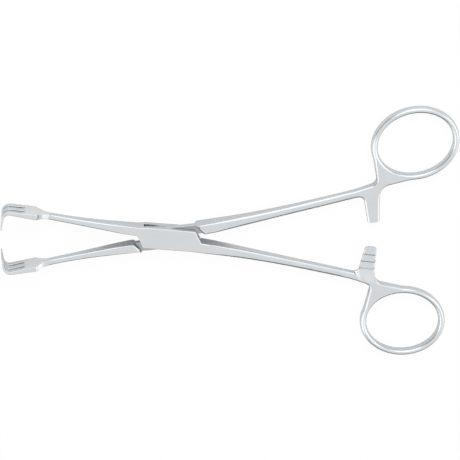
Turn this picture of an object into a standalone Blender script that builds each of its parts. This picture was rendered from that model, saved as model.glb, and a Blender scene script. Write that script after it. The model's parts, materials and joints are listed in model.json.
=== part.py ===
"""Traction forceps: two forged halves crossing in a box lock, turning on a flush riveted pin.

Both halves are drawn in one frame, with the jaws shut: the pin is the origin, the jaws lie
toward -X, the finger rings toward +X, and the flat of the instrument is the XY plane. The box
half has its jaw on the +Y side and its ring on the -Y side. The tongue half is drawn the same
way and then turned over in Y. At the end the halves are opened about the pin and the whole
instrument is laid down on its lower jaw plate and its two rings.
"""

import bpy
import bmesh
import numpy as np
from math import asin, atan2, cos, hypot, pi, radians, sin, tan
from mathutils import Matrix, Vector

MM = 0.001

# How the instrument stands
OPEN_ANGLE = radians(15.0)  # between shut and the rest pose

# Running clearances
HALF_CLEARANCE = 0.24 * MM  # between the two halves beside the box, when shut
TONGUE_CLEARANCE = 0.10 * MM  # over and under the tongue in its slot
TURN_CLEARANCE = 0.40 * MM  # between the tongue's round ends and the ends of the slot
SHOULDER_CLEARANCE = 0.50 * MM  # between the tongue's shoulders and the cheeks, when shut
RIVET_CLEARANCE = 0.03 * MM  # round the pin in the cheeks
BORE_CLEARANCE = 0.10 * MM  # round the pin in the tongue
RATCHET_CLEARANCE = 0.24 * MM  # between the tooth crests of the two arms

# Box lock
BOX_WIDTH = 7.6 * MM
BOX_THICKNESS = 5.0 * MM
BOX_SKEW = 0.25 * MM  # how far the long sides lean, at each end
CHEEK_LENGTH = 16.3 * MM  # along the cheek's outer side, twice the distance to its end
CHEEK_REACH = 10.9 * MM  # from the pin to the notch where the halves cross
SLOT_LENGTH = 18.0 * MM
SLOT_HEIGHT = 1.8 * MM
SHOULDER_SLOPE = 0.7 * MM  # how far a tongue shoulder leans back over its height
PIN_DIAMETER = 3.2 * MM

# Jaw shank
JAW_SHANK_LENGTH = 30.1 * MM  # from the notch to the slimmest place behind the plate
NECK_WIDTH = 2.0 * MM
NECK_THICKNESS = 2.4 * MM
NECK_OFFSET = 3.2 * MM
JAW_ROOT_WIDTH = 3.05 * MM
JAW_SLIMS_OVER = 25.0 * MM
JAW_SWEEP = 1.6
NECK_SLIMMING = 0.45 * MM  # taken off the shank where it runs into the plate
NECK_OVERLAP = 2.4 * MM  # how far the shank and the plate run into each other

# Jaw plate and prongs
FLARE_LENGTH = 4.2 * MM  # from the neck to the plate's shoulder
PLATE_WIDTH = 7.2 * MM
PLATE_THICKNESS = 1.9 * MM
PLATE_OUTER_OFFSET = 4.95 * MM  # from the midline to the plate's outer face
PLATE_SHIFT = 0.75 * MM  # each plate lies off centre, so that the prongs pass each other
SHOULDER_ROUND = 0.7 * MM
PRONG_COUNT = 3
PRONG_PITCH = 2.85 * MM
SLIT_WIDTH = 0.9 * MM
PALM_LENGTH = 3.8 * MM  # from the shoulder to the slits' closed ends
PRONG_THICKNESS = 1.15 * MM
TIP_THICKNESS = 0.36 * MM
TIP_WIDTH = 0.36 * MM
SLIT_LENGTH = 4.7 * MM  # from a slit's closed end to where the prongs start to bend
HOOK_RADIUS = 2.8 * MM
HOOK_BEND = radians(93.0)
HOOK_DROP = 7.1 * MM  # from the plate's outer face to the tips
PLATE_EDGE = 0.22 * MM

# Handle shank
HANDLE_ROOT_WIDTH = 3.60 * MM
HANDLE_WIDTH = 2.65 * MM
HANDLE_THICKNESS = 2.8 * MM
HANDLE_SLIMS_OVER = 31.0 * MM
HANDLE_SHANK_LENGTH = 52.9 * MM  # from the notch to where the web begins
HANDLE_OFFSET = 7.0 * MM
HANDLE_SWEEP = 1.3

# Ratchet arm
ARM_SET_BACK = 5.1 * MM  # from the end of the handle shank to the arm's middle
ARM_ROOT = 4.0 * MM  # from the midline to the foot of the arm's straight sides
ARM_BASE_WIDTH = 5.3 * MM  # at the root
ARM_TIP_WIDTH = 4.1 * MM
ARM_CROSSING = 4.0 * MM  # how far the tip passes the midline when shut
ARM_TIP_ROUND = 1.2 * MM
TOOTH_COUNT = 3
TOOTH_PITCH = 2.67 * MM
TOOTH_DEPTH = 0.55 * MM
TOOTH_END_ROUND = 0.40 * MM  # rounding at both ends of a tooth, along the arm's sides
RAMP_CURVE = 6.0  # how late a tooth's ramp falls away toward the next steep face
LAST_TOOTH = 4.2 * MM  # from the midline to the steep face nearest the shank
SLOPE_START = 8.1 * MM  # from the midline to where the slope down to the teeth leaves the face
SLOPE_FOOT = 0.8 * MM  # from the foot of the slope to the nearest steep face
SLOPE_SKEW = radians(9.0)  # how the slope's upper edge runs across the arm
SLOPE_NARROWING = 2.8 * MM  # how far its side beside the shank draws in from foot to start

# Finger ring and web
RING_SET_BACK = 6.2 * MM  # from the end of the handle shank to the ring's near side
RING_DROP = 2.45 * MM  # from the handle's middle line to the ring's inner side
RING_LENGTH = 25.4 * MM  # inside, along the long axis
RING_BREADTH = 21.9 * MM
RING_BAND = 2.2 * MM
RING_THICKNESS = 3.3 * MM
RING_FLANK = 0.3 * MM  # straight height of the ring's sides, between its oval roundings
RING_TURN = radians(-4.9)
WEB_OUTER_FILLET = 2.4 * MM
WEB_INNER_FILLET = 3.6 * MM
ARM_FILLET = 1.7 * MM
WEB_BLEND = 10.0 * MM  # where the web runs out into the ring, on both sides
SHANK_BLEND = 30.0 * MM  # where the shank's outer side runs out into the web
WEB_OUTER_SET = 1.3 * MM  # the outer corner lies this far inside the ring's outer end
WEB_OUTER_DROP = 1.6 * MM  # and this far below the handle's outer edge
WEB_INNER_SET = 0.9 * MM

# Rounded edges
JAW_EDGE = 0.60 * MM
BOX_EDGE = 0.30 * MM
HANDLE_EDGE = 0.80 * MM
HANDLE_CROWN = 0.35 * MM  # how much wider across the face than deep the handle's rounding is
ARM_EDGE = 0.90 * MM
RING_EDGE = 1.05 * MM
EDGE_GROWTH = 14.0 * MM  # along each shank, from the lock's rounding to the shank's own

# Fineness of the curves
EDGE_STEPS = 4
FILLET_STEPS = 6
SLIT_STEPS = 8
SHANK_STEPS = 12
RING_STEPS = 54
HOLE_STEPS = 56
BEND_STEPS = 7
FLARE_STEPS = 5
RAMP_STEPS = 5
TOOTH_END_STEPS = 3
PIN_STEPS = 32

# Beyond every surface, for the cutters
CLEAR = 2.0 * MM

# Distances from the pin along X, worked out from the lengths above
NECK_REACH = CHEEK_REACH + JAW_SHANK_LENGTH
PLATE_REACH = NECK_REACH + FLARE_LENGTH
SLIT_REACH = PLATE_REACH + PALM_LENGTH
BEND_REACH = SLIT_REACH + SLIT_LENGTH
HANDLE_REACH = CHEEK_REACH + HANDLE_SHANK_LENGTH
ARM_REACH = HANDLE_REACH + ARM_SET_BACK
RING_REACH = HANDLE_REACH + RING_SET_BACK + RING_BAND + RING_LENGTH / 2
RING_OFFSET = HANDLE_OFFSET + RING_DROP + RING_BAND + RING_BREADTH / 2

# Steel finish
STEEL_COLOUR = (0.80, 0.81, 0.82, 1.0)
STEEL_ROUGHNESS = 0.32


def clear_scene():
    for obj in list(bpy.data.objects):
        bpy.data.objects.remove(obj, do_unlink=True)


def steel(name):
    material = bpy.data.materials.new(name)
    material.use_nodes = True
    shader = material.node_tree.nodes["Principled BSDF"]
    shader.inputs["Base Color"].default_value = STEEL_COLOUR
    shader.inputs["Metallic"].default_value = 1.0
    shader.inputs["Roughness"].default_value = STEEL_ROUGHNESS
    return material


def ease(t):
    """Smooth step from 0 to 1."""
    t = min(max(t, 0.0), 1.0)
    return t * t * (3 - 2 * t)


def mix(a, b, t):
    return a + (b - a) * t


# Plan of a half: middle line, width and thickness along X


def plate_root():
    """Distance from the pin to where the plate's strip begins, buried in the neck."""
    return NECK_REACH - NECK_OVERLAP / 2


def jaw_root_middle():
    return HALF_CLEARANCE / 2 + JAW_ROOT_WIDTH / 2


def jaw_middle(x):
    """Y of the jaw's middle line: the shank sweeps outward, then steps up to the plate."""
    along = (-x - CHEEK_REACH) / (NECK_REACH - CHEEK_REACH)
    shank = mix(jaw_root_middle(), NECK_OFFSET, max(along, 0.0) ** JAW_SWEEP)
    plate = PLATE_OUTER_OFFSET - PLATE_THICKNESS / 2
    step = min(max((-x - plate_root()) / (PLATE_REACH - plate_root()), 0.0), 1.0)
    return mix(shank, plate, step**1.5)


def jaw_width(x):
    shank = mix(JAW_ROOT_WIDTH, NECK_WIDTH, ease((-x - CHEEK_REACH) / JAW_SLIMS_OVER))
    return shank - NECK_SLIMMING * ease((-x - plate_root()) / NECK_OVERLAP)


def handle_middle(x):
    along = (x - CHEEK_REACH) / (HANDLE_REACH - CHEEK_REACH)
    root = -(HALF_CLEARANCE / 2 + HANDLE_ROOT_WIDTH / 2)
    return mix(root, -HANDLE_OFFSET, max(along, 0.0) ** HANDLE_SWEEP)


def handle_width(x):
    return mix(HANDLE_ROOT_WIDTH, HANDLE_WIDTH, ease((x - CHEEK_REACH) / HANDLE_SLIMS_OVER))


def shank_edge(x, full):
    """Radius of a shank's rounded rims: the lock's at the notch, growing to its own."""
    return mix(BOX_EDGE, full, ease((abs(x) - CHEEK_REACH) / EDGE_GROWTH))


def half_thickness(x):
    """Half the thickness in Z: full over the box, slim along both shanks, fuller at the ring."""
    flat = CHEEK_LENGTH / 2
    if x < -flat:
        along = min((-x - flat) / (NECK_REACH - flat), 1.0)
        full = mix(NECK_THICKNESS, BOX_THICKNESS, (1 - along) ** 1.5)
        return (full - NECK_SLIMMING * ease((-x - plate_root()) / NECK_OVERLAP)) / 2
    if x > HANDLE_REACH:
        web = RING_REACH - RING_LENGTH / 2 - HANDLE_REACH
        return mix(HANDLE_THICKNESS, RING_THICKNESS, ease((x - HANDLE_REACH) / web)) / 2
    along = max(x - flat, 0.0) / (HANDLE_REACH - flat)
    return mix(HANDLE_THICKNESS, BOX_THICKNESS, (1 - along) ** 1.6) / 2


def arm_side(y, hand):
    """X of the arm's straight side, on the left when hand is -1 and on the right when it is 1."""
    width = mix(ARM_BASE_WIDTH, ARM_TIP_WIDTH, (y + ARM_ROOT) / (ARM_CROSSING + ARM_ROOT))
    return ARM_REACH + hand * width / 2


def ring_point(angle, grow):
    """A point on the ring's oval, grown outward from the finger hole."""
    along = (RING_LENGTH / 2 + grow) * cos(angle)
    across = (RING_BREADTH / 2 + grow) * sin(angle)
    x = RING_REACH + along * cos(RING_TURN) - across * sin(RING_TURN)
    y = -RING_OFFSET + along * sin(RING_TURN) + across * cos(RING_TURN)
    return x, y


# Outlines


def corner(x, y, edge, fillet=0.0, depth=None):
    """A corner of an outline.

    edge is how far its rims are rounded in from the side, and depth how far down from the face:
    the same, unless the rounding is an oval one.
    """
    return x, y, fillet, edge, depth or edge


def rounded(corners):
    """Turn each corner that has a fillet radius into an arc, and give (x, y, edge, depth) points."""
    points = []
    count = len(corners)
    for i, (x, y, fillet, edge, depth) in enumerate(corners):
        if not fillet:
            points.append((x, y, edge, depth))
            continue
        here = Vector((x, y))
        back = (Vector(corners[i - 1][:2]) - here).normalized()
        ahead = (Vector(corners[(i + 1) % count][:2]) - here).normalized()
        half = back.angle(ahead) / 2
        centre = here + (back + ahead).normalized() * (fillet / sin(half))
        start = here + back * (fillet / tan(half)) - centre
        turn = pi - 2 * half
        if back.x * ahead.y - back.y * ahead.x > 0:
            turn = -turn
        for k in range(FILLET_STEPS + 1):
            spoke = Matrix.Rotation(turn * k / FILLET_STEPS, 2) @ start
            points.append((centre.x + spoke.x, centre.y + spoke.y, edge, depth))
    return points


def spaced(start, end, count):
    return [mix(start, end, k / count) for k in range(count + 1)]


def cheek_end():
    """Front end of the box on the -Y side: a slanting edge from the notch to the outer side."""
    outer = -BOX_WIDTH / 2 - BOX_SKEW
    return [corner(-CHEEK_REACH, HALF_CLEARANCE / 2, BOX_EDGE), corner(-CHEEK_LENGTH / 2, outer, BOX_EDGE)]


def tongue_end():
    """Front end of the tongue on the -Y side: an arc about the pin that clears the slot's end."""
    radius = SLOT_LENGTH / 2 - TURN_CLEARANCE
    outer = -BOX_WIDTH / 2 - BOX_SKEW
    first = pi - asin(HALF_CLEARANCE / 2 / radius)
    last = pi - asin(outer / radius)
    sweep = spaced(first, last, 2 * FILLET_STEPS)
    return [corner(radius * cos(a), radius * sin(a), BOX_EDGE) for a in sweep]


def opposite(corners):
    """The same corners on the far side of the pin."""
    return [(-x, -y, *rest) for x, y, *rest in corners]


def shank_sides(xs, middle, width, full, crown=0.0):
    """Corners along the lower and the upper side of a shank, both in the order of xs."""
    sides = []
    for hand in (-1, 1):
        side = []
        for x in xs:
            depth = shank_edge(x, full)
            side.append(corner(x, middle(x) + hand * width(x) / 2, depth + crown * depth / full, depth=depth))
        sides.append(side)
    return sides


def ring_corner(angle, grow, fillet=0.0):
    """A corner on the ring, whose section is nearly an oval."""
    x, y = ring_point(angle, grow)
    return corner(x, y, RING_EDGE, fillet, half_thickness(x) - RING_FLANK / 2)


def round_tip():
    """The tip of the box half's ratchet arm, seen on its toothed face: round corners."""
    return [corner(arm_side(ARM_CROSSING, hand), ARM_CROSSING, ARM_EDGE, ARM_TIP_ROUND) for hand in (1, -1)]


def long_tip():
    """The tip of the tongue half's arm before square_end cuts it off, with its rim's rounding."""
    tip = ARM_CROSSING + ARM_EDGE
    return [corner(arm_side(tip, hand), tip, ARM_EDGE) for hand in (1, -1)]


def half_outline(end, tip):
    """Outline of a half, counter-clockwise from the inner side of the jaw's neck."""
    jaw_xs = [-NECK_REACH - NECK_OVERLAP / 2] + spaced(-plate_root(), -CHEEK_REACH, SHANK_STEPS)
    handle_xs = spaced(CHEEK_REACH, HANDLE_REACH, SHANK_STEPS)
    jaw_inner, jaw_outer = shank_sides(jaw_xs, jaw_middle, jaw_width, JAW_EDGE)
    outer, inner = shank_sides(handle_xs, handle_middle, handle_width, HANDLE_EDGE, HANDLE_CROWN)
    side = BOX_WIDTH / 2 - BOX_SKEW
    jaw_side = [corner(-CHEEK_LENGTH / 2, side, BOX_EDGE)]
    handle_side = [corner(CHEEK_LENGTH / 2, -side, BOX_EDGE)]

    first, *sweep, last = spaced(radians(170), radians(360 + 103), RING_STEPS)
    ring = [ring_corner(a, RING_BAND) for a in sweep]
    ring.insert(0, ring_corner(first, RING_BAND, WEB_BLEND))
    ring.append(ring_corner(last, RING_BAND, WEB_BLEND))
    web_outer = corner(
        RING_REACH - RING_LENGTH / 2 - RING_BAND + WEB_OUTER_SET,
        outer[-1][1] - WEB_OUTER_DROP,
        HANDLE_EDGE,
        WEB_OUTER_FILLET,
    )
    foot = arm_side(-ARM_ROOT, 1)
    web_inner = corner(foot + WEB_INNER_SET, ring[-1][1] + WEB_INNER_SET, HANDLE_EDGE, WEB_INNER_FILLET)
    x, y, *_ = outer[-1]
    outer[-1] = corner(x, y, HANDLE_EDGE, SHANK_BLEND)
    beside = inner[-1][1]
    arm_back = corner(arm_side(beside, -1), beside, ARM_EDGE, ARM_FILLET)
    arm = [corner(foot, -ARM_ROOT, ARM_EDGE), *tip, arm_back]
    return rounded(
        jaw_inner[:-1] + end + handle_side + outer + [web_outer] + ring + [web_inner] + arm
        + inner[:0:-1] + opposite(end) + jaw_side + jaw_outer[::-1]
    )


def slab(loops, half_height):
    """A solid between mirrored faces, its rims rounded by each point's own edge and depth.

    The first loop runs counter-clockwise and the others, round holes, clockwise, so the metal
    is always on the left. half_height gives half the thickness at a place along X.
    """
    bm = bmesh.new()
    rims = {1: [], -1: []}
    for loop in loops:
        count = len(loop)
        levels = []
        for level in [-k for k in range(EDGE_STEPS, -1, -1)] + list(range(EDGE_STEPS + 1)):
            up = -1 if len(levels) <= EDGE_STEPS else 1
            angle = abs(level) / EDGE_STEPS * pi / 2
            row = []
            for i, (x, y, edge, depth) in enumerate(loop):
                before = Vector((x - loop[i - 1][0], y - loop[i - 1][1])).normalized()
                after = Vector((loop[(i + 1) % count][0] - x, loop[(i + 1) % count][1] - y)).normalized()
                left = Vector((-before.y - after.y, before.x + after.x)) / (1 + before.dot(after))
                inset = edge * (1 - cos(angle))
                z = half_height(x) - depth * (1 - sin(angle))
                row.append(bm.verts.new((x + left.x * inset, y + left.y * inset, up * z)))
            levels.append(row)
        for lower, upper in zip(levels, levels[1:]):
            for i in range(count):
                j = (i + 1) % count
                bm.faces.new((lower[i], lower[j], upper[j], upper[i]))
        rims[-1].append(levels[0])
        rims[1].append(levels[-1])
    for up, rows in rims.items():
        edges = [bm.edges.get((row[i], row[i - 1])) for row in rows for i in range(len(row))]
        filled = bmesh.ops.triangle_fill(bm, edges=edges, use_beauty=True, normal=(0, 0, up))
        faces = [f for f in filled["geom"] if isinstance(f, bmesh.types.BMFace)]
        turned = [f for f in faces if f.normal.z * up < 0]
        bmesh.ops.reverse_faces(bm, faces=turned)
    return bm


def prism(plan, low, high):
    """A cutter: a closed plan of (x, y) points run straight up from low to high."""
    bm = bmesh.new()
    face = bm.faces.new([bm.verts.new((x, y, low)) for x, y in plan])
    moved = bmesh.ops.extrude_face_region(bm, geom=[face])["geom"]
    moved = [v for v in moved if isinstance(v, bmesh.types.BMVert)]
    bmesh.ops.translate(bm, vec=(0, 0, high - low), verts=moved)
    bmesh.ops.recalc_face_normals(bm, faces=bm.faces)
    return bm


def cylinder(diameter, height):
    bm = bmesh.new()
    bmesh.ops.create_cone(
        bm, cap_ends=True, segments=PIN_STEPS, radius1=diameter / 2, radius2=diameter / 2, depth=height
    )
    return bm


# Objects


def add_object(name, bm, side=1):
    """Link a drawn solid as an object, turned over in Y when side is -1."""
    if side < 0:
        bmesh.ops.scale(bm, vec=(1, -1, 1), verts=bm.verts)
        bmesh.ops.reverse_faces(bm, faces=bm.faces)
    mesh = bpy.data.meshes.new(name)
    bm.to_mesh(mesh)
    bm.free()
    obj = bpy.data.objects.new(name, mesh)
    bpy.context.scene.collection.objects.link(obj)
    return obj


def finish_steel(obj):
    obj.data.materials.append(steel(obj.name + "_steel"))
    obj.data.shade_smooth()
    obj.data.set_sharp_from_angle(angle=radians(35))


def combine(target, tool, operation):
    """Cut or join a tool solid, which stays as a hidden wire guide under its target."""
    tool.parent = target
    tool.hide_render = True
    tool.display_type = "WIRE"
    modifier = target.modifiers.new(tool.name, "BOOLEAN")
    modifier.operation = operation
    modifier.solver = "EXACT"
    modifier.object = tool


# Jaw plate with hooked prongs


def prong_middle(index):
    return (index - (PRONG_COUNT - 1) / 2) * PRONG_PITCH


def plate_outline():
    """Outline of the unrolled plate, in distance from the pin and in Z, counter-clockwise.

    The strip widens from the neck in a ground hollow, and ends in tapering prongs.
    """
    neck = half_thickness(-plate_root()) - PLATE_EDGE
    spread = PLATE_WIDTH / 2 - neck
    run = PLATE_REACH - plate_root()
    tip = BEND_REACH + hook_length()
    radius = (run**2 + spread**2) / (2 * spread)
    swing = atan2(run, radius - spread)
    hollow = [
        corner(plate_root() + radius * sin(a), neck + radius * (1 - cos(a)), PLATE_EDGE)
        for a in spaced(0, swing, FLARE_STEPS)
    ]
    x, z, *_ = hollow.pop()
    high_side = [corner(x, z, PLATE_EDGE, SHOULDER_ROUND)] + hollow[::-1]
    low_side = [(x, -z, *rest) for x, z, *rest in reversed(high_side)]

    prongs = []
    for k in range(PRONG_COUNT):
        middle = prong_middle(k)
        low = middle - PRONG_PITCH / 2 + SLIT_WIDTH / 2 if k else -PLATE_WIDTH / 2
        high = middle + PRONG_PITCH / 2 - SLIT_WIDTH / 2 if k < PRONG_COUNT - 1 else PLATE_WIDTH / 2
        prongs += [
            corner(BEND_REACH, low, PLATE_EDGE),
            corner(tip, middle - TIP_WIDTH / 2, TIP_WIDTH / 4),
            corner(tip, middle + TIP_WIDTH / 2, TIP_WIDTH / 4),
            corner(BEND_REACH, high, PLATE_EDGE),
        ]
        if k < PRONG_COUNT - 1:
            slit = middle + PRONG_PITCH / 2
            radius = SLIT_WIDTH / 2
            prongs += [
                corner(SLIT_REACH + radius * (1 - sin(a)), slit - radius * cos(a), PLATE_EDGE)
                for a in spaced(0, pi, SLIT_STEPS)
            ]
    return rounded(low_side + prongs + high_side)


def hook_length():
    """Length of a prong along its outer face, from the start of the bend to the tip."""
    fallen = HOOK_RADIUS * (1 - cos(HOOK_BEND))
    return HOOK_RADIUS * HOOK_BEND + (HOOK_DROP - fallen) / sin(HOOK_BEND)


def plate_thickness(reach):
    """Thickness of the strip at a distance along it: root, shoulder, prongs, tips."""
    if reach < PLATE_REACH:
        root = jaw_width(-plate_root()) - PLATE_EDGE
        return mix(root, PLATE_THICKNESS, ease((reach - plate_root()) / NECK_OVERLAP))
    if reach < BEND_REACH:
        return mix(PLATE_THICKNESS, PRONG_THICKNESS, (reach - PLATE_REACH) / (BEND_REACH - PLATE_REACH))
    return mix(PRONG_THICKNESS, TIP_THICKNESS, ((reach - BEND_REACH) / hook_length()) ** 1.4)


def outer_face(reach):
    """Point and inward direction on the outer face, in XY, at a distance along the strip."""
    if reach < BEND_REACH:
        if reach < PLATE_REACH:
            return Vector((-reach, jaw_middle(-reach) + plate_thickness(reach) / 2)), Vector((0, -1))
        return Vector((-reach, PLATE_OUTER_OFFSET)), Vector((0, -1))
    turned = min((reach - BEND_REACH) / HOOK_RADIUS, HOOK_BEND)
    centre = Vector((-BEND_REACH, PLATE_OUTER_OFFSET - HOOK_RADIUS))
    outward = Vector((-sin(turned), cos(turned)))
    straight = reach - BEND_REACH - turned * HOOK_RADIUS
    along = Vector((-cos(turned), -sin(turned)))
    return centre + outward * HOOK_RADIUS + along * straight, -outward


def jaw_plate(name, shift, side):
    """The strip, cut across at the bend, then laid along its outer face."""
    bm = slab([plate_outline()], lambda reach: plate_thickness(reach) / 2)
    bend_end = BEND_REACH + HOOK_RADIUS * HOOK_BEND
    cuts = spaced(BEND_REACH, bend_end, BEND_STEPS)
    cuts += spaced(plate_root(), PLATE_REACH, FLARE_STEPS)[1:]
    for cut in cuts:
        geometry = bm.verts[:] + bm.edges[:] + bm.faces[:]
        bmesh.ops.bisect_plane(bm, geom=geometry, plane_co=(cut, 0, 0), plane_no=(1, 0, 0), dist=1e-7)
    for vert in bm.verts:
        reach, z, depth = vert.co
        face, inward = outer_face(reach)
        point = face + inward * (plate_thickness(reach) / 2 - depth)
        shifted = ease((reach - plate_root()) / (PLATE_REACH - plate_root()))
        vert.co = (point.x, point.y, z + shift * shifted)
    bmesh.ops.recalc_face_normals(bm, faces=bm.faces)
    return add_object(name, bm, side)


# Ratchet


def relief_row(y, height, ends):
    """One row of the relief's lower face across the arm, rounded down by ends along its sides."""
    row = []
    for hand in (-1, 1):
        side = [(CLEAR, ends)]
        for angle in spaced(0, pi / 2, TOOTH_END_STEPS):
            side.append((-TOOTH_END_ROUND * (1 - cos(angle)), ends * (1 - sin(angle))))
        row += [(arm_side(y, hand) + hand * out, y, height - drop) for out, drop in side[::-hand]]
    return row


def slope_row(back, height, narrowed):
    """The row above the face from which the relief slopes down to the teeth, skewed to the arm."""
    left = arm_side(-ARM_ROOT, -1) - CLEAR + narrowed
    right = arm_side(-ARM_ROOT, 1) + WEB_INNER_FILLET
    xs = spaced(left, right, 2 * TOOTH_END_STEPS + 3)
    return [(x, -back - (x - ARM_REACH) * tan(SLOPE_SKEW), height) for x in xs]


def ratchet_relief(name, side):
    """Cuts the upper layer off the box half's arm, and the lower one off the tongue half's.

    What is left carries saw teeth across it, rounded at both ends. Their ramps rise toward the
    shank, so the arms slide shut and their steep faces hold them. Behind the teeth the relief
    slopes up to the face of the shank.
    """
    crest = -RATCHET_CLEARANCE / 2
    face = half_thickness(ARM_REACH)
    foot = LAST_TOOTH + SLOPE_FOOT
    beyond = 1 + CLEAR / (face - crest)
    rows = [
        slope_row(mix(foot, SLOPE_START, beyond), face + CLEAR, SLOPE_NARROWING * beyond),
        relief_row(-foot, crest, 0),
    ]
    start = -foot
    for k in range(TOOTH_COUNT):
        steep = k * TOOTH_PITCH - LAST_TOOTH
        for t in spaced(0, 1, RAMP_STEPS)[1:]:
            late = 1 - (1 - t) ** 2
            fall = TOOTH_DEPTH * late**RAMP_CURVE
            ends = TOOTH_END_ROUND * (1 if k else late)
            rows.append(relief_row(mix(start, steep, late), crest - fall, ends))
        rows.append(relief_row(steep, crest, TOOTH_END_ROUND))
        start = steep
    rows.append(relief_row(ARM_CROSSING + CLEAR, crest, TOOTH_END_ROUND))

    bm = bmesh.new()
    grid = [[bm.verts.new(point) for point in row] for row in rows]
    for near, far in zip(grid, grid[1:]):
        for i in range(len(near) - 1):
            bm.faces.new((near[i], far[i], far[i + 1], near[i + 1]))
    below = [grid[1][0], grid[1][-1], grid[-1][0], grid[-1][-1]]
    foot_left, foot_right, tip_left, tip_right = [
        bm.verts.new((v.co.x, v.co.y, face + CLEAR)) for v in below
    ]
    bm.faces.new(grid[0] + [foot_right, tip_right, tip_left, foot_left])
    bm.faces.new(grid[-1] + [tip_right, tip_left])
    bm.faces.new([grid[0][0], foot_left, grid[1][0]])
    bm.faces.new([grid[0][-1], foot_right, grid[1][-1]])
    bm.faces.new([row[0] for row in grid[1:]] + [tip_left, foot_left])
    bm.faces.new([row[-1] for row in grid[1:]] + [tip_right, foot_right])
    bmesh.ops.triangulate(bm, faces=bm.faces)
    bmesh.ops.recalc_face_normals(bm, faces=bm.faces)
    if side < 0:
        bmesh.ops.scale(bm, vec=(1, 1, -1), verts=bm.verts)
        bmesh.ops.reverse_faces(bm, faces=bm.faces)
    return add_object(name, bm, side)


def square_end():
    """Cuts the tongue half's arm off square at its tip, so that its long bevels run out there."""
    left = arm_side(-ARM_ROOT, -1)
    right = arm_side(-ARM_ROOT, 1)
    far = ARM_CROSSING + ARM_EDGE + CLEAR
    plan = [(left, ARM_CROSSING), (right, ARM_CROSSING), (right, far), (left, far)]
    return add_object("square_arm_end", prism(plan, -RING_THICKNESS, RING_THICKNESS), side=-1)


# Box lock


def box_slot():
    """The way through the box for the tongue: a window, open to both sides past the roots."""
    wall = SLOT_LENGTH / 2
    far = CHEEK_REACH + CLEAR
    wide = BOX_WIDTH / 2 + CLEAR
    half = [(-far, -wide), (wall, -wide), (wall, 0), (far, 0)]
    plan = half + [(-x, -y) for x, y in half]
    return add_object("tongue_slot", prism(plan, -SLOT_HEIGHT / 2, SLOT_HEIGHT / 2))


def tongue_pocket(name, up):
    """Thins the tongue half from one face, between two leaning shoulders beside the cheeks."""
    notch = Vector((-CHEEK_REACH, -HALF_CLEARANCE / 2))
    outer = Vector((-CHEEK_LENGTH / 2, BOX_WIDTH / 2 + BOX_SKEW))
    along = (outer - notch).normalized()
    away = Vector((-along.y, along.x))
    floor = SLOT_HEIGHT / 2 - TONGUE_CLEARANCE
    rise = BOX_THICKNESS / 2 - floor
    bm = bmesh.new()
    rows = []
    for height, back in ((floor, 0), (floor + rise + CLEAR, SHOULDER_SLOPE * (rise + CLEAR) / rise)):
        set_back = away * (SHOULDER_CLEARANCE + back)
        low = notch - along * BOX_WIDTH + set_back
        high = outer + along * CLEAR + set_back
        corners = [low, -high, -low, high]
        rows.append([bm.verts.new((p.x, p.y, up * height)) for p in corners])
    bm.faces.new(rows[0])
    bm.faces.new(rows[1])
    for i in range(4):
        bm.faces.new((rows[0][i], rows[0][i - 1], rows[1][i - 1], rows[1][i]))
    bmesh.ops.recalc_face_normals(bm, faces=bm.faces)
    return add_object(name, bm, side=-1)


def blank(name, end, tip, side):
    """The forging of a half: its whole outline with the finger hole."""
    hole = rounded([ring_corner(-a, 0) for a in spaced(0, 2 * pi, HOLE_STEPS)[:-1]])
    obj = add_object(name, slab([half_outline(end, tip), hole], half_thickness), side)
    finish_steel(obj)
    return obj


def box_half():
    half = blank("box_half", cheek_end(), round_tip(), 1)
    combine(half, jaw_plate("box_jaw_plate", PLATE_SHIFT, 1), "UNION")
    combine(half, box_slot(), "DIFFERENCE")
    bore = cylinder(PIN_DIAMETER + 2 * RIVET_CLEARANCE, BOX_THICKNESS + CLEAR)
    combine(half, add_object("rivet_hole", bore), "DIFFERENCE")
    combine(half, ratchet_relief("box_ratchet_relief", 1), "DIFFERENCE")
    return half


def tongue_half():
    half = blank("tongue_half", tongue_end(), long_tip(), -1)
    combine(half, jaw_plate("tongue_jaw_plate", -PLATE_SHIFT, -1), "UNION")
    combine(half, tongue_pocket("upper_tongue_pocket", 1), "DIFFERENCE")
    combine(half, tongue_pocket("lower_tongue_pocket", -1), "DIFFERENCE")
    bore = cylinder(PIN_DIAMETER + 2 * BORE_CLEARANCE, BOX_THICKNESS)
    combine(half, add_object("tongue_bore", bore), "DIFFERENCE")
    combine(half, ratchet_relief("tongue_ratchet_relief", -1), "DIFFERENCE")
    combine(half, square_end(), "DIFFERENCE")
    return half


def pivot_pin():
    pin = add_object("pivot_pin", cylinder(PIN_DIAMETER, BOX_THICKNESS))
    finish_steel(pin)
    return pin


# Assembly


def add_empty(name, parent=None):
    empty = bpy.data.objects.new(name, None)
    empty.empty_display_size = BOX_WIDTH
    empty.parent = parent
    bpy.context.scene.collection.objects.link(empty)
    return empty


def world_points(objects):
    """Every point of the finished solids, after their modifiers."""
    bpy.context.view_layer.update()
    graph = bpy.context.evaluated_depsgraph_get()
    points = []
    for obj in objects:
        solid = obj.evaluated_get(graph)
        points += [solid.matrix_world @ v.co for v in solid.data.vertices]
    return np.array(points)


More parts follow.
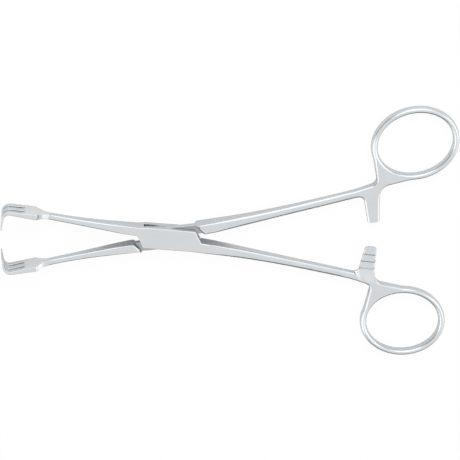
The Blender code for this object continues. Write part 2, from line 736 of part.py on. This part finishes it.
def lay_down(stand, objects):
    """Tilt and lift the stand so that the jaw plate and the rings touch the floor.

    Seen from the side, the instrument rests on the edge of its lower outline that spans the pin.
    The origin ends below the middle of the instrument's box.
    """
    points = world_points(objects)
    hull = []
    for x, z in sorted({(round(p[0], 7), round(p[2], 7)) for p in points}):
        while len(hull) > 1 and turns_down(hull[-2], hull[-1], (x, z)):
            hull.pop()
        hull.append((x, z))
    front, rear = next(pair for pair in zip(hull, hull[1:]) if pair[0][0] <= 0 < pair[1][0])
    stand.rotation_euler.y = atan2(rear[1] - front[1], rear[0] - front[0])
    points = world_points(objects)
    low = points.min(axis=0)
    high = points.max(axis=0)
    stand.location = (-(low[0] + high[0]) / 2, -(low[1] + high[1]) / 2, -low[2])


def turns_down(a, b, c):
    return (b[0] - a[0]) * (c[1] - a[1]) - (b[1] - a[1]) * (c[0] - a[0]) <= 0


def build():
    clear_scene()
    stand = add_empty("forceps_stand")
    hinge = add_empty("box_lock_hinge", stand)
    box = box_half()
    tongue = tongue_half()
    pin = pivot_pin()
    box.parent = stand
    pin.parent = stand
    tongue.parent = hinge
    box.rotation_euler.z = -OPEN_ANGLE / 2
    hinge.rotation_euler.z = OPEN_ANGLE / 2
    lay_down(stand, [box, tongue, pin])


build()
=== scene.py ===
"""Traction forceps in satin steel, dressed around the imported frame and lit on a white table."""

import json
from math import cos, radians, sin

import bmesh
import bpy
from mathutils import Matrix, Vector


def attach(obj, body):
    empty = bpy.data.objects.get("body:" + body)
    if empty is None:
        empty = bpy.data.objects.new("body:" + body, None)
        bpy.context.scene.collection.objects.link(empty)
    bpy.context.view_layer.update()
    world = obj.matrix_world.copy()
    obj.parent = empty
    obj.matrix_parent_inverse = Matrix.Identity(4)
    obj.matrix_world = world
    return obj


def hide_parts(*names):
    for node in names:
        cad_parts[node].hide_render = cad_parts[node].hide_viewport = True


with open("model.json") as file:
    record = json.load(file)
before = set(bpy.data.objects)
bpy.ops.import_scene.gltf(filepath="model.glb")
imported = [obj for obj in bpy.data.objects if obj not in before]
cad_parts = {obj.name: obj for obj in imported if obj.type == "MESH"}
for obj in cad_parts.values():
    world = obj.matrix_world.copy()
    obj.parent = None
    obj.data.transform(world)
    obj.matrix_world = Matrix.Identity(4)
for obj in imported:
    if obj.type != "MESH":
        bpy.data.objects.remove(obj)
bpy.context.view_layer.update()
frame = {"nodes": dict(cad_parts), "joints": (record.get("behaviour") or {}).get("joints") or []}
scene = bpy.context.scene


# Box half: one forging of stainless steel, from its hooked prongs through the slotted box to its
# finger ring. It is ground along its length and left satin, the edges that milling left sharp are
# broken with a stone, the cheeks' ends are chamfered, and the ratchet teeth are cut with a V file.

HALF_OPENING = radians(7.5)

# The forceps rest on the lower jaw plate and the two rings, so the flat of the lock leans a
# little. The hinge in the record tells where the pin is and which way the flat faces.
hinge = frame["joints"][0]
flat_up = Vector(hinge["axis"]).normalized()
lengthwise = Vector((0, 1, 0)).cross(flat_up).normalized()
lying = Matrix((lengthwise, (0, 1, 0), flat_up)).transposed().to_4x4()
instrument = Matrix.Translation(Vector(hinge["pos_m"])) @ lying

STEEL_COLOUR = (0.640, 0.662, 0.675, 1.0)
STEEL_SHADE = (0.580, 0.605, 0.622, 1.0)
SATIN_ROUGHNESS = (0.20, 0.30)
GRIND_SPACING = 2400.0
GRIND_STRETCH = 0.035
GRIND_DETAIL = 3.0
GRIND_BREAKUP = 0.6
GRIND_SHARE = 0.5  # of the unevenness in the sheen; the rest is cloudy
CLOUD_SPACING = 190.0
CLOUD_DETAIL = 4.0
SCRATCH_STRENGTH = 0.18
SCRATCH_DEPTH = 0.00004
PALM_STEEL = (0.728, 0.743, 0.753, 1.0)
PALM_PLACE = -0.0450  # from the pin along the half
PALM_REACH = 0.0042
PALM_FADE = 0.0011
PALM_MATTNESS = 0.14
FACING = (0.80, 0.93)  # a face looks along an axis when this much of its normal does


def facing_share(nodes, links, axis):
    """One on the faces that look along an axis, either way."""
    place = nodes.new("ShaderNodeTexCoord")
    parts = nodes.new("ShaderNodeSeparateXYZ")
    links.new(place.outputs["Normal"], parts.inputs["Vector"])
    size = nodes.new("ShaderNodeMath")
    size.operation = "ABSOLUTE"
    links.new(parts.outputs[axis], size.inputs[0])
    facing = nodes.new("ShaderNodeMapRange")
    facing.inputs["From Min"].default_value = FACING[0]
    facing.inputs["From Max"].default_value = FACING[1]
    links.new(size.outputs["Value"], facing.inputs["Value"])
    return facing.outputs["Result"]


def palm_share(nodes, links, along):
    """One on the two palms of the jaw plate, between the shank and the slits, nothing elsewhere."""
    split = nodes.new("ShaderNodeSeparateXYZ")
    links.new(along, split.inputs["Vector"])
    away = nodes.new("ShaderNodeMath")
    away.operation = "SUBTRACT"
    away.inputs[1].default_value = PALM_PLACE
    links.new(split.outputs["X"], away.inputs[0])
    distance = nodes.new("ShaderNodeMath")
    distance.operation = "ABSOLUTE"
    links.new(away.outputs["Value"], distance.inputs[0])
    fade = nodes.new("ShaderNodeMapRange")
    fade.interpolation_type = "SMOOTHSTEP"
    fade.inputs["From Min"].default_value = PALM_REACH + PALM_FADE
    fade.inputs["From Max"].default_value = PALM_REACH - PALM_FADE
    links.new(distance.outputs["Value"], fade.inputs["Value"])
    share = nodes.new("ShaderNodeMath")
    share.operation = "MULTIPLY"
    links.new(fade.outputs["Result"], share.inputs[0])
    links.new(facing_share(nodes, links, "Y"), share.inputs[1])
    return share.outputs["Value"]


def ground_steel(name, turned):
    """Satin steel whose grinding lines run along a half that is turned by an angle about Z."""
    material = bpy.data.materials.new(name)
    material.use_nodes = True
    nodes = material.node_tree.nodes
    links = material.node_tree.links
    shader = nodes["Principled BSDF"]
    shader.inputs["Metallic"].default_value = 1.0

    place = nodes.new("ShaderNodeTexCoord")
    turn = nodes.new("ShaderNodeMapping")
    turn.name = "Along the half"
    turn.vector_type = "TEXTURE"
    turn.inputs["Location"].default_value = hinge["pos_m"]
    turn.inputs["Rotation"].default_value = (0.0, 0.0, turned)
    links.new(place.outputs["Object"], turn.inputs["Vector"])
    stretch = nodes.new("ShaderNodeMapping")
    stretch.inputs["Scale"].default_value = (GRIND_STRETCH, 1.0, 1.0)
    links.new(turn.outputs["Vector"], stretch.inputs["Vector"])

    lines = nodes.new("ShaderNodeTexNoise")
    lines.inputs["Scale"].default_value = GRIND_SPACING
    lines.inputs["Detail"].default_value = GRIND_DETAIL
    lines.inputs["Roughness"].default_value = GRIND_BREAKUP
    links.new(stretch.outputs["Vector"], lines.inputs["Vector"])
    cloud = nodes.new("ShaderNodeTexNoise")
    cloud.inputs["Scale"].default_value = CLOUD_SPACING
    cloud.inputs["Detail"].default_value = CLOUD_DETAIL
    links.new(turn.outputs["Vector"], cloud.inputs["Vector"])

    palm = palm_share(nodes, links, turn.outputs["Vector"])
    tone = nodes.new("ShaderNodeMixRGB")
    tone.inputs["Color1"].default_value = STEEL_SHADE
    tone.inputs["Color2"].default_value = STEEL_COLOUR
    links.new(cloud.outputs["Fac"], tone.inputs["Fac"])
    paled = nodes.new("ShaderNodeMixRGB")
    paled.inputs["Color2"].default_value = PALM_STEEL
    links.new(palm, paled.inputs["Fac"])
    links.new(tone.outputs["Color"], paled.inputs["Color1"])
    links.new(paled.outputs["Color"], shader.inputs["Base Color"])

    cloudy = nodes.new("ShaderNodeMath")
    cloudy.operation = "MULTIPLY"
    cloudy.inputs[1].default_value = 1.0 - GRIND_SHARE
    links.new(cloud.outputs["Fac"], cloudy.inputs[0])
    uneven = nodes.new("ShaderNodeMath")
    uneven.operation = "MULTIPLY_ADD"
    uneven.inputs[1].default_value = GRIND_SHARE
    links.new(lines.outputs["Fac"], uneven.inputs[0])
    links.new(cloudy.outputs["Value"], uneven.inputs[2])
    sheen = nodes.new("ShaderNodeMapRange")
    sheen.inputs["To Min"].default_value = SATIN_ROUGHNESS[0]
    sheen.inputs["To Max"].default_value = SATIN_ROUGHNESS[1]
    links.new(uneven.outputs["Value"], sheen.inputs["Value"])
    matted = nodes.new("ShaderNodeMath")
    matted.operation = "MULTIPLY_ADD"
    matted.inputs[1].default_value = PALM_MATTNESS
    links.new(palm, matted.inputs[0])
    links.new(sheen.outputs["Result"], matted.inputs[2])
    links.new(matted.outputs["Value"], shader.inputs["Roughness"])

    scratch = nodes.new("ShaderNodeBump")
    scratch.inputs["Strength"].default_value = SCRATCH_STRENGTH
    scratch.inputs["Distance"].default_value = SCRATCH_DEPTH
    links.new(lines.outputs["Fac"], scratch.inputs["Height"])
    links.new(scratch.outputs["Normal"], shader.inputs["Normal"])
    return material


SAME_PLACE = 0.000002
FLAT_WITHIN = radians(0.2)


def closed_skin(node):
    """The node's triangles as one joined mesh, its flats merged into whole faces."""
    bm = bmesh.new()
    bm.from_mesh(frame["nodes"][node].data)
    bmesh.ops.remove_doubles(bm, verts=bm.verts, dist=SAME_PLACE)
    bmesh.ops.dissolve_limit(
        bm,
        angle_limit=FLAT_WITHIN,
        use_dissolve_boundaries=False,
        verts=bm.verts,
        edges=bm.edges,
        delimit=set(),
    )
    return bm


def own_drawing(turned, side):
    """From the scene to a half's own drawing: shut, its ring toward -Y and its teeth facing +Z."""
    shut = Matrix.Rotation(-turned, 4, "Z") @ instrument.inverted()
    return Matrix.Diagonal((1, side, side, 1)) @ shut


def round_over(bm, edges, radius, steps):
    bmesh.ops.bevel(
        bm,
        geom=edges,
        offset=radius,
        offset_type="OFFSET",
        segments=steps,
        profile=0.5,
        affect="EDGES",
        clamp_overlap=False,
        material=-1,
    )


EDGE_BREAK = 0.00007
SHARP_EDGE = radians(50.0)
SHORTEST_STONED_EDGE = 0.0005
PIN_CLEARANCE = 0.0020


def stone_edges(bm):
    """Break the sharp edges with a narrow rounded chamfer, but not round the flush pin."""
    from_instrument = instrument.inverted()
    sharp = []
    for edge in bm.edges:
        middle = from_instrument @ ((edge.verts[0].co + edge.verts[1].co) / 2)
        by_pin = middle.xy.length < PIN_CLEARANCE
        if edge.is_manifold and edge.calc_face_angle() > SHARP_EDGE and not by_pin:
            sharp.append(edge)
    round_over(bm, [e for e in sharp if e.calc_length() > SHORTEST_STONED_EDGE], EDGE_BREAK, 2)


ARM_PLACE = 0.0689
ARM_HALF_WIDTH = 0.0035
TEETH = (
    # a steep face's place, then the rows of points before it: how far back, moved forward and up
    (-0.00420, ((0.00013, 0.0, 0.00012),)),
    (-0.00153, ((0.00043, 0.00010, 0.00016), (0.00011, 0.0, -0.00007))),
    (0.00114, ((0.00043, 0.00010, 0.00016), (0.00011, 0.0, -0.00007))),
)
LOWEST_TOOTH_POINT = -0.00080
ROW_NEAR = 0.00002
CREST_HEIGHT = -0.00012
CREST_NEAR = 0.00003
CREST_ROUND = 0.00018


def dress_teeth(bm, drawing):
    """Keep each ramp flat up to a narrow V groove before the next tooth, and round the crests."""
    back = drawing.inverted()
    crests = []
    for edge in bm.edges:
        a, b = (drawing @ v.co for v in edge.verts)
        at_crest = max(abs(a.z - CREST_HEIGHT), abs(b.z - CREST_HEIGHT)) < CREST_NEAR
        on_arm = max(abs(a.x - ARM_PLACE), abs(b.x - ARM_PLACE)) < ARM_HALF_WIDTH
        for steep, _ in TEETH:
            if at_crest and on_arm and max(abs(a.y - steep), abs(b.y - steep)) < CREST_NEAR:
                crests.append(edge)
    for vert in bm.verts:
        place = drawing @ vert.co
        if abs(place.x - ARM_PLACE) > ARM_HALF_WIDTH or place.z < LOWEST_TOOTH_POINT:
            continue
        for steep, rows in TEETH:
            for back_by, forward, up in rows:
                if abs(steep - back_by - place.y) < ROW_NEAR:
                    vert.co = back @ (place + Vector((0, forward, up)))
    round_over(bm, crests, CREST_ROUND, 3)


LOCK_ENDS = (0.0070, 0.0125)  # from the pin along the half
OUTER_LEVEL = 0.0019  # up or down from the middle of the lock
SAME_RUN = 0.98
CHEEK_RUN = Vector((2.75, -4.17, 0.0)).normalized()
CHEEK_STRIP_TURNS = (radians(15.0), radians(45.0))


def lock_edges(bm, drawing, run, turns):
    """Edges by the lock's ends and outer faces that lie along a run and turn by such angles."""
    found = []
    for edge in bm.edges:
        a, b = (drawing @ v.co for v in edge.verts)
        at_end = LOCK_ENDS[0] < min(abs(a.x), abs(b.x)) and max(abs(a.x), abs(b.x)) < LOCK_ENDS[1]
        outside = min(abs(a.z), abs(b.z)) > OUTER_LEVEL
        along = abs((b - a).normalized().dot(run)) > SAME_RUN
        if at_end and outside and along and edge.is_manifold and turns[0] < edge.calc_face_angle() < turns[1]:
            found.append(edge)
    return found


def flatten_cheek_ends(bm, drawing):
    """The rounded strip along each cheek's end, made one flat chamfer."""
    inner = lock_edges(bm, drawing, CHEEK_RUN, CHEEK_STRIP_TURNS)
    bmesh.ops.dissolve_edges(bm, edges=inner, use_verts=False, use_face_split=False)


NO_LENGTH = 0.000001
SMOOTH_UNDER = radians(32.0)


def forging(name, node, body, material, drawing, dress_lock):
    """The node's solid with its teeth, lock and edges finished, in the node's place."""
    bm = closed_skin(node)
    dress_teeth(bm, drawing)
    dress_lock(bm, drawing)
    stone_edges(bm)
    bmesh.ops.dissolve_degenerate(bm, dist=NO_LENGTH, edges=bm.edges)
    mesh = bpy.data.meshes.new(name)
    bm.to_mesh(mesh)
    bm.free()
    mesh.materials.append(material)
    mesh.shade_smooth()
    mesh.set_sharp_from_angle(angle=SMOOTH_UNDER)
    piece = bpy.data.objects.new(name, mesh)
    scene.collection.objects.link(piece)
    weigh = piece.modifiers.new("flat_faces", "WEIGHTED_NORMAL")
    weigh.keep_sharp = True
    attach(piece, body)
    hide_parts(node)


box_steel = ground_steel("box_half_satin", -HALF_OPENING)
box_drawing = own_drawing(-HALF_OPENING, 1)
forging(
    "box_forging",
    "box_half",
    "box_side",
    box_steel,
    box_drawing,
    flatten_cheek_ends,
)


# Tongue half: a forging of the same steel, made and ground in the same way. Where the other half
# has its box, this one is milled down to a tongue that passes through the slot. The shoulders before
# the cheeks are chamfered; the tongue's flats are rougher, with painted shade where they lie in shadow.

SHOULDER_BREAK = 0.00050
SHOULDER_RUN = Vector((2.75, 4.17, 0.0)).normalized()
SHOULDER_TURNS = (radians(50.0), radians(100.0))
# painted shade: a darker steel for the tongue's flats, where they lie in shadow in the lock
RECESS_PAINTED_SHADE = (0.400, 0.415, 0.422, 1.0)
RECESS_REACH = (0.0123, 0.00115)  # from the pin along the half, and up or down
RECESS_FADE = 0.00008
RECESS_MATTNESS = 0.20


def break_shoulders(bm, drawing):
    """A wide flat chamfer along the shoulders."""
    round_over(bm, lock_edges(bm, drawing, SHOULDER_RUN, SHOULDER_TURNS), SHOULDER_BREAK, 1)


def recess_shade_and_matt_share(nodes, links, along):
    """One on the tongue's flats in the lock, which get painted shade and a rougher finish."""
    split = nodes.new("ShaderNodeSeparateXYZ")
    links.new(along, split.inputs["Vector"])
    share = facing_share(nodes, links, "Z")
    for axis, reach in zip("XZ", RECESS_REACH):
        away = nodes.new("ShaderNodeMath")
        away.operation = "ABSOLUTE"
        links.new(split.outputs[axis], away.inputs[0])
        inside = nodes.new("ShaderNodeMapRange")
        inside.inputs["From Min"].default_value = reach + RECESS_FADE
        inside.inputs["From Max"].default_value = reach - RECESS_FADE
        links.new(away.outputs["Value"], inside.inputs["Value"])
        both = nodes.new("ShaderNodeMath")
        both.operation = "MULTIPLY"
        links.new(share, both.inputs[0])
        links.new(inside.outputs["Result"], both.inputs[1])
        share = both.outputs["Value"]
    return share


def shade_and_roughen_recess(material):
    """Paint shade on the tongue's flats in the lock, darkening the ground steel, and roughen them."""
    nodes = material.node_tree.nodes
    links = material.node_tree.links
    shader = nodes["Principled BSDF"]
    ground_colour = shader.inputs["Base Color"].links[0].from_socket
    ground_sheen = shader.inputs["Roughness"].links[0].from_socket
    recess = recess_shade_and_matt_share(nodes, links, nodes["Along the half"].outputs["Vector"])
    # painted shade: the flats' colour is mixed toward the darker steel
    shaded = nodes.new("ShaderNodeMixRGB")
    shaded.inputs["Color2"].default_value = RECESS_PAINTED_SHADE
    links.new(recess, shaded.inputs["Fac"])
    links.new(ground_colour, shaded.inputs["Color1"])
    links.new(shaded.outputs["Color"], shader.inputs["Base Color"])
    rougher = nodes.new("ShaderNodeMath")
    rougher.operation = "MULTIPLY_ADD"
    rougher.inputs[1].default_value = RECESS_MATTNESS
    links.new(recess, rougher.inputs[0])
    links.new(ground_sheen, rougher.inputs[2])
    links.new(rougher.outputs["Value"], shader.inputs["Roughness"])


tongue_steel = ground_steel("tongue_half_satin", HALF_OPENING)
shade_and_roughen_recess(tongue_steel)
tongue_drawing = own_drawing(HALF_OPENING, -1)
forging(
    "tongue_forging",
    "tongue_half",
    "tongue_side",
    tongue_steel,
    tongue_drawing,
    break_shoulders,
)


# Pivot pin: a steel rivet through both cheeks and the tongue. Peening has spread it until it
# fills its hole, and its ends are ground flush with the box, so hardly a line shows round them.

PEENED_OUT = 0.00003


def peen(bm, drawing):
    """Spread the rivet sideways by the gap that the frame keeps round it."""
    back = drawing.inverted()
    for vert in bm.verts:
        place = drawing @ vert.co
        if place.xy.length > PEENED_OUT:
            vert.co = back @ (place + Vector((place.x, place.y, 0)).normalized() * PEENED_OUT)


pin_steel = ground_steel("pin_satin", -HALF_OPENING)
forging("riveted_pin", "pivot_pin", "box_side", pin_steel, box_drawing, peen)


# White table: a matt white sheet that carries the instrument and its soft contact shadow. The
# photograph's ground is pure white, so the sheet shows most of its white to the camera by itself.

TABLE_SIZE = 3.0
TABLE_WHITE = (0.56, 0.56, 0.56, 1.0)
CAMERA_SHARE = 0.96
REFLECTION_SHARE = 0.06
PURE_WHITE = (1.0, 1.0, 1.0, 1.0)


def light_path_share(nodes, links):
    """How much of a surface shows as plain white to each kind of ray."""
    rays = nodes.new("ShaderNodeLightPath")
    camera_part = nodes.new("ShaderNodeMath")
    camera_part.operation = "MULTIPLY"
    camera_part.inputs[1].default_value = CAMERA_SHARE
    links.new(rays.outputs["Is Camera Ray"], camera_part.inputs[0])
    mirrored = nodes.new("ShaderNodeMath")
    mirrored.operation = "MAXIMUM"
    links.new(rays.outputs["Is Glossy Ray"], mirrored.inputs[0])
    links.new(rays.outputs["Is Transmission Ray"], mirrored.inputs[1])
    share = nodes.new("ShaderNodeMath")
    share.operation = "MULTIPLY_ADD"
    share.inputs[1].default_value = REFLECTION_SHARE
    links.new(mirrored.outputs["Value"], share.inputs[0])
    links.new(camera_part.outputs["Value"], share.inputs[2])
    return share.outputs["Value"]


sheet = bmesh.new()
bmesh.ops.create_grid(sheet, x_segments=1, y_segments=1, size=TABLE_SIZE / 2)
table_mesh = bpy.data.meshes.new("white_table")
sheet.to_mesh(table_mesh)
sheet.free()
table = bpy.data.objects.new("white_table", table_mesh)
scene.collection.objects.link(table)

sheet_white = bpy.data.materials.new("table_white")
sheet_white.use_nodes = True
sheet_nodes = sheet_white.node_tree.nodes
sheet_links = sheet_white.node_tree.links
sheet_nodes.clear()
matt = sheet_nodes.new("ShaderNodeBsdfDiffuse")
matt.inputs["Color"].default_value = TABLE_WHITE
glow = sheet_nodes.new("ShaderNodeEmission")
glow.inputs["Color"].default_value = PURE_WHITE
shown = sheet_nodes.new("ShaderNodeMixShader")
sheet_surface = sheet_nodes.new("ShaderNodeOutputMaterial")
sheet_links.new(light_path_share(sheet_nodes, sheet_links), shown.inputs["Fac"])
sheet_links.new(matt.outputs["BSDF"], shown.inputs[1])
sheet_links.new(glow.outputs["Emission"], shown.inputs[2])
sheet_links.new(shown.outputs["Shader"], sheet_surface.inputs["Surface"])
table_mesh.materials.append(sheet_white)


# Studio light: a white tent lights the instrument from all round, and a softbox behind the upper
# jaw casts its shadow. White cards behind that jaw, past the rings and at the near left draw the
# bright lines on rounded edges. Flags at the near side, past the jaws and below leave others dark.

KEY_PLACE = Vector((0.0, 0.75, 0.62))
KEY_SIZE = (0.90, 0.35)
KEY_WATTS = 9.0
TENT_STRENGTH = 1.06
CARDS = (
    # toward (X, Y, Z), added strength, full inside and gone beyond these angles in degrees
    ((0.0, 0.85, 0.53), 0.72, 23, 37),
    ((0.90, -0.05, 0.43), 0.65, 22, 42),
    ((0.0, -0.98, -0.02), -0.95, 26, 46),
    ((-0.90, 0.42, 0.05), -0.60, 16, 40),
    ((-0.72, -0.56, 0.40), 0.65, 20, 38),
    ((0.0, 0.0, -1.0), -0.55, 88, 101),
)

key_data = bpy.data.lights.new("key_softbox", "AREA")
key_data.shape = "RECTANGLE"
key_data.size, key_data.size_y = KEY_SIZE
key_data.energy = KEY_WATTS
key = bpy.data.objects.new("key_softbox", key_data)
scene.collection.objects.link(key)
key.location = KEY_PLACE
key.rotation_euler = (-KEY_PLACE).to_track_quat("-Z", "Y").to_euler()
key.visible_glossy = False


def card_light(nodes, links, direction, toward, strength, full, gone):
    """A card's share of the tent's light, fading between two angles from its middle."""
    facing = nodes.new("ShaderNodeVectorMath")
    facing.operation = "DOT_PRODUCT"
    facing.inputs[1].default_value = Vector(toward).normalized()
    links.new(direction, facing.inputs[0])
    fade = nodes.new("ShaderNodeMapRange")
    fade.interpolation_type = "SMOOTHSTEP"
    fade.inputs["From Min"].default_value = cos(radians(gone))
    fade.inputs["From Max"].default_value = cos(radians(full))
    fade.inputs["To Min"].default_value = 0.0
    fade.inputs["To Max"].default_value = strength
    links.new(facing.outputs["Value"], fade.inputs["Value"])
    return fade.outputs["Result"]


world = bpy.data.worlds.new("white_tent")
scene.world = world
world.use_nodes = True
tent_nodes = world.node_tree.nodes
tent_links = world.node_tree.links
tent_nodes.clear()
skyward = tent_nodes.new("ShaderNodeTexCoord")
strength_so_far = None
for card in CARDS:
    total = tent_nodes.new("ShaderNodeMath")
    total.operation = "ADD"
    total.inputs[1].default_value = TENT_STRENGTH
    tent_links.new(card_light(tent_nodes, tent_links, skyward.outputs["Generated"], *card), total.inputs[0])
    if strength_so_far:
        tent_links.new(strength_so_far, total.inputs[1])
    strength_so_far = total.outputs["Value"]
tent = tent_nodes.new("ShaderNodeBackground")
tent.inputs["Color"].default_value = PURE_WHITE
tent_links.new(strength_so_far, tent.inputs["Strength"])
backdrop = tent_nodes.new("ShaderNodeBackground")
backdrop.inputs["Color"].default_value = PURE_WHITE
backdrop.inputs["Strength"].default_value = 1.0
seen_by = tent_nodes.new("ShaderNodeLightPath")
seen = tent_nodes.new("ShaderNodeMixShader")
tent_surface = tent_nodes.new("ShaderNodeOutputWorld")
tent_links.new(seen_by.outputs["Is Camera Ray"], seen.inputs["Fac"])
tent_links.new(tent.outputs["Background"], seen.inputs[1])
tent_links.new(backdrop.outputs["Background"], seen.inputs[2])
tent_links.new(seen.outputs["Shader"], tent_surface.inputs["Surface"])


# Camera: the photograph looks down at the flat of the instrument from above its upper jaw,
# through a long lens.

CAMERA_TARGET = Vector((0.02045, 0.00229, 0.0))
CAMERA_DISTANCE = 0.750
CAMERA_ELEVATION = radians(63.0)
CAMERA_SWING = radians(12.5)
CAMERA_ROLL = radians(1.97)
SENSOR_WIDTH = 36.0
FOCAL_LENGTH = 175.2
CLIPPING = (0.05, 20.0)

camera_data = bpy.data.cameras.new("photo_camera")
camera_data.sensor_width = SENSOR_WIDTH
camera_data.lens = FOCAL_LENGTH
camera_data.clip_start, camera_data.clip_end = CLIPPING
camera = bpy.data.objects.new("photo_camera", camera_data)
scene.collection.objects.link(camera)
scene.camera = camera

aside = cos(CAMERA_ELEVATION)
toward_camera = Vector((-sin(CAMERA_SWING) * aside, cos(CAMERA_SWING) * aside, sin(CAMERA_ELEVATION)))
picture_right = Vector((0, 1, 0)).cross(toward_camera).normalized()
picture_up = toward_camera.cross(picture_right)
picture_axes = Matrix((picture_right, picture_up, toward_camera)).transposed().to_4x4()
standing = Matrix.Translation(CAMERA_TARGET + toward_camera * CAMERA_DISTANCE)
camera.matrix_world = instrument @ standing @ picture_axes @ Matrix.Rotation(CAMERA_ROLL, 4, "Z")


scene.view_settings.view_transform = "Standard"
